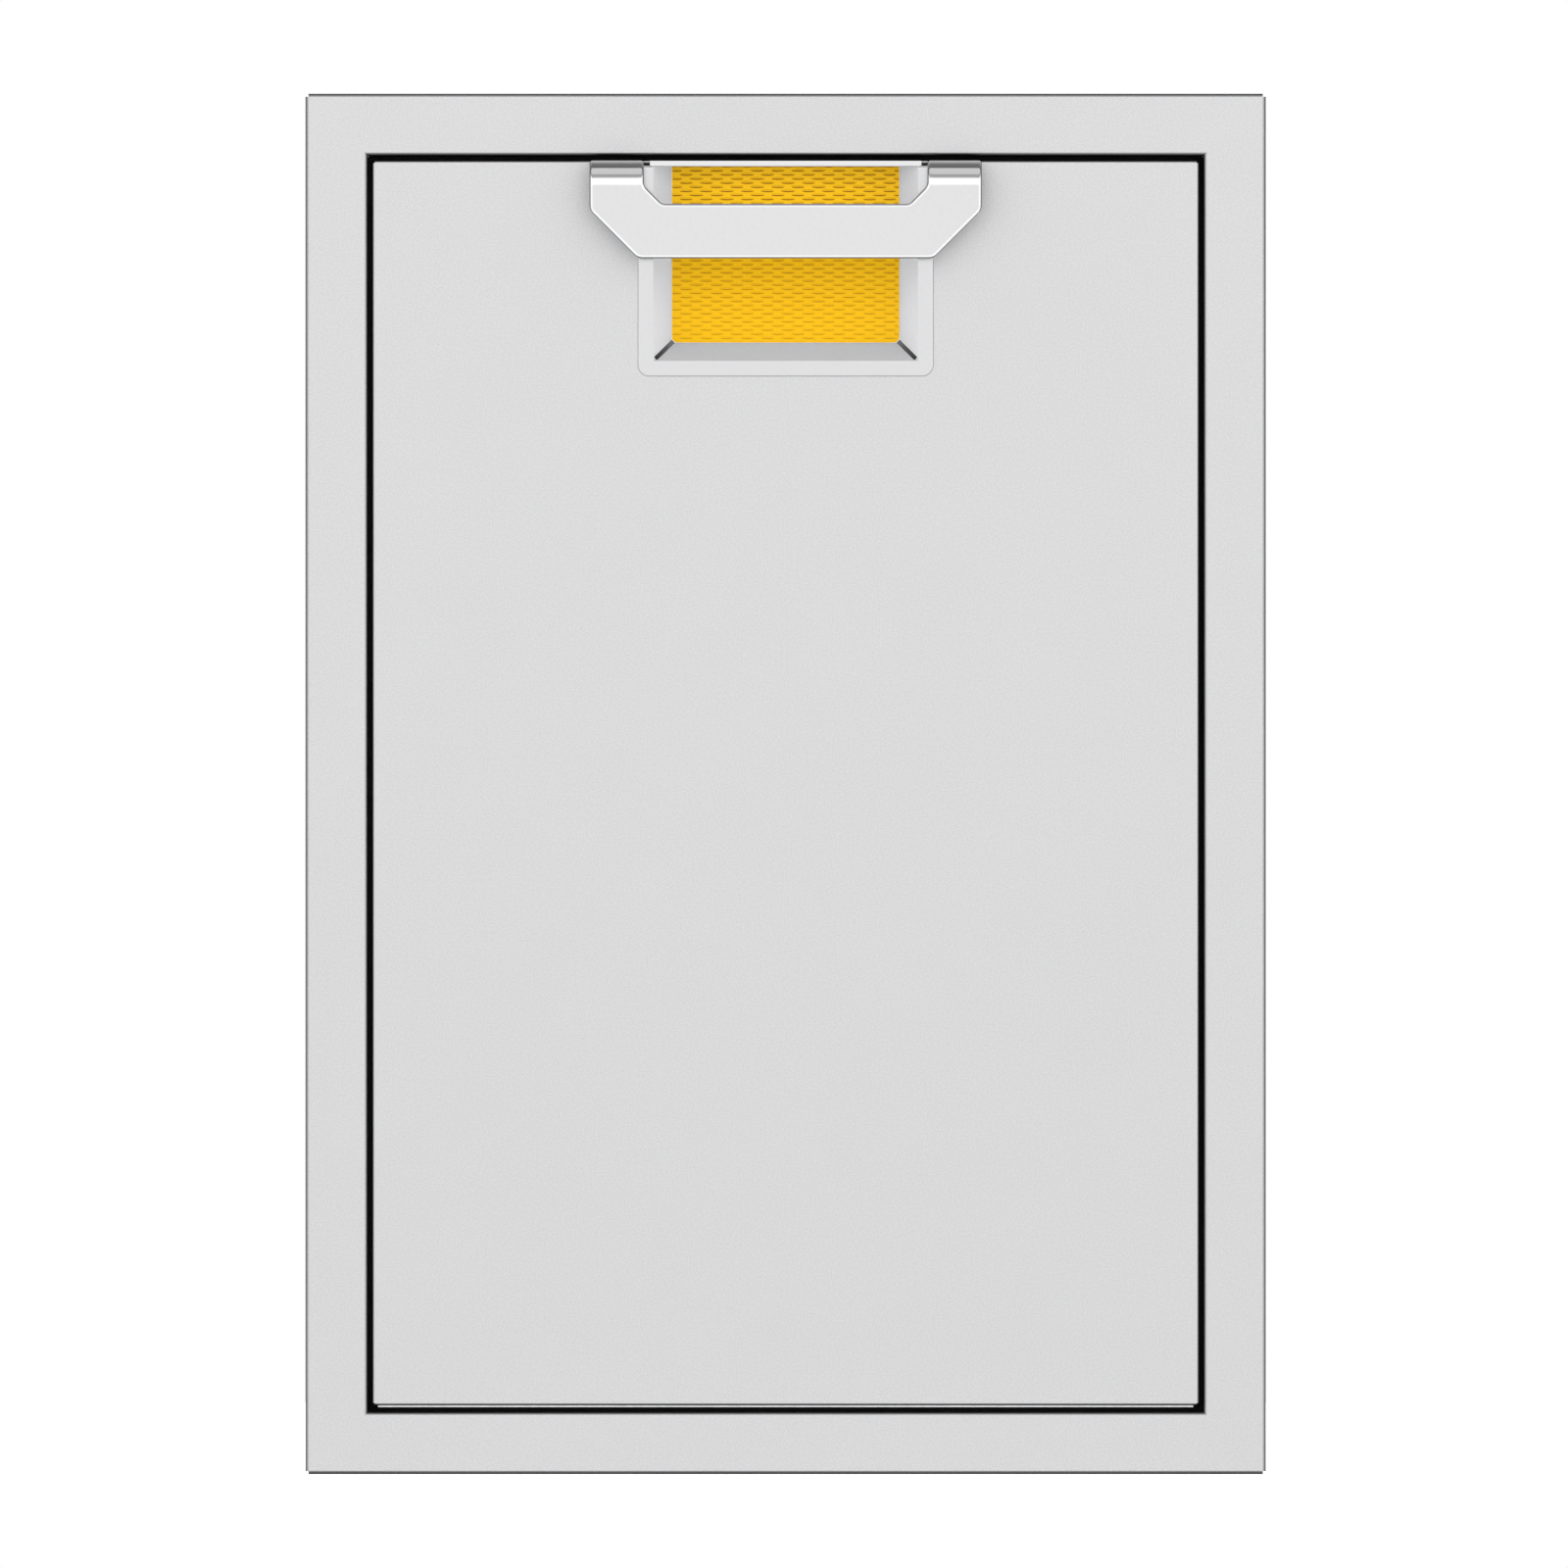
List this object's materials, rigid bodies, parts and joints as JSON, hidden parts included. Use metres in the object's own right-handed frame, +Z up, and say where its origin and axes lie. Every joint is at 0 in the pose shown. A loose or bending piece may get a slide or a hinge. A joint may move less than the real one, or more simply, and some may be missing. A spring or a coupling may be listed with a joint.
{
  "type": "roll-out trash drawer",
  "caption": "Built-in stainless outdoor-kitchen trash drawer: inset door with recessed pull in a face frame, on full-extension ball-bearing slides, with lift-out bins.",
  "frame": {"origin": "middle of the face frame's bottom edge, on the plane of the island face that the frame's outer returns rest on", "axes": "+X to the right when facing the door, +Y back into the island, +Z up; the door faces -Y"},
  "size_m": [0.508, 0.5902, 0.7303],
  "materials": {
    "satin_steel": "fine satin-brushed stainless sheet, light grey, vertical grain",
    "recess_steel": "satin stainless recess pan, slightly brighter than the door",
    "accent_paint": "warm yellow coated sheet with a fine embossed weave, low sheen",
    "polished_steel": "bright polished stainless plate with soft reflections",
    "liner_steel": "plain mill-finish stainless sheet",
    "shell_steel": "mill-finish stainless sheet with a soft grain",
    "tray_steel": "mill-finish stainless sheet",
    "slide_zinc": "bright zinc-plated rolled steel",
    "cage_steel": "thin plated steel strip",
    "ball_steel": "polished bearing steel",
    "fastener_steel": "bright stainless fasteners",
    "bumper_rubber": "soft black moulded rubber",
    "bin_plastic": "dark grey moulded polypropylene with a light sheen"
  },
  "bodies": {
    "cabinet": {"face_frame": "satin_steel", "floor_pan": "shell_steel", "back_panel": "shell_steel", "rear_tie": "shell_steel", "rear_screws": "fastener_steel", "closing_bumpers": "bumper_rubber", "left_side_panel": "shell_steel", "left_slide_outer": "slide_zinc", "left_slide_rivets": "fastener_steel", "right_side_panel": "shell_steel", "right_slide_outer": "slide_zinc", "right_slide_rivets": "fastener_steel"},
    "drawer": {"door_skin": "satin_steel", "door_liner": "liner_steel", "door_seal": "bumper_rubber", "handle_recess": "recess_steel", "accent_panel": "accent_paint", "pull_handle": "polished_steel", "handle_screws": "fastener_steel", "drawer_tray": "tray_steel", "bin_rails": "tray_steel", "door_screws": "fastener_steel", "left_slide_inner": "slide_zinc", "left_slide_screws": "fastener_steel", "left_door_bracket": "tray_steel", "left_bracket_rivets": "fastener_steel", "right_slide_inner": "slide_zinc", "right_slide_screws": "fastener_steel", "right_door_bracket": "tray_steel", "right_bracket_rivets": "fastener_steel"},
    "front_bin": {"front_bin": "bin_plastic"},
    "rear_bin": {"rear_bin": "bin_plastic"},
    "left_slide_middle": {"left_slide_middle": "slide_zinc"},
    "left_outer_cage": {"left_outer_ball_cage": "cage_steel", "left_outer_balls": "ball_steel"},
    "left_inner_cage": {"left_inner_ball_cage": "cage_steel", "left_inner_balls": "ball_steel"},
    "right_slide_middle": {"right_slide_middle": "slide_zinc"},
    "right_outer_cage": {"right_outer_ball_cage": "cage_steel", "right_outer_balls": "ball_steel"},
    "right_inner_cage": {"right_inner_ball_cage": "cage_steel", "right_inner_balls": "ball_steel"}
  },
  "joints": [
    {"name": "drawer_travel", "type": "slide", "parent": "cabinet", "child": "drawer", "axis": [0, -1, 0], "range_m": [0, 0.5]},
    {"name": "left_slide_middle_travel", "type": "slide", "parent": "cabinet", "child": "left_slide_middle", "axis": [0, -1, 0], "range_m": [0, 0.25]},
    {"name": "left_outer_cage_travel", "type": "slide", "parent": "cabinet", "child": "left_outer_cage", "axis": [0, -1, 0], "range_m": [0, 0.125]},
    {"name": "left_inner_cage_travel", "type": "slide", "parent": "cabinet", "child": "left_inner_cage", "axis": [0, -1, 0], "range_m": [0, 0.375]},
    {"name": "right_slide_middle_travel", "type": "slide", "parent": "cabinet", "child": "right_slide_middle", "axis": [0, -1, 0], "range_m": [0, 0.25]},
    {"name": "right_outer_cage_travel", "type": "slide", "parent": "cabinet", "child": "right_outer_cage", "axis": [0, -1, 0], "range_m": [0, 0.125]},
    {"name": "right_inner_cage_travel", "type": "slide", "parent": "cabinet", "child": "right_inner_cage", "axis": [0, -1, 0], "range_m": [0, 0.375]},
    {"name": "front_bin_lift", "type": "slide", "parent": "drawer", "child": "front_bin", "axis": [0, 0, 1], "range_m": [0, 0.66]},
    {"name": "rear_bin_lift", "type": "slide", "parent": "drawer", "child": "rear_bin", "axis": [0, 0, 1], "range_m": [0, 0.66]}
  ],
  "couplings": [
    {"joint": "left_slide_middle_travel", "follows": "drawer_travel", "ratio": 0.5},
    {"joint": "left_outer_cage_travel", "follows": "drawer_travel", "ratio": 0.25},
    {"joint": "left_inner_cage_travel", "follows": "drawer_travel", "ratio": 0.75},
    {"joint": "right_slide_middle_travel", "follows": "drawer_travel", "ratio": 0.5},
    {"joint": "right_outer_cage_travel", "follows": "drawer_travel", "ratio": 0.25},
    {"joint": "right_inner_cage_travel", "follows": "drawer_travel", "ratio": 0.75}
  ]
}
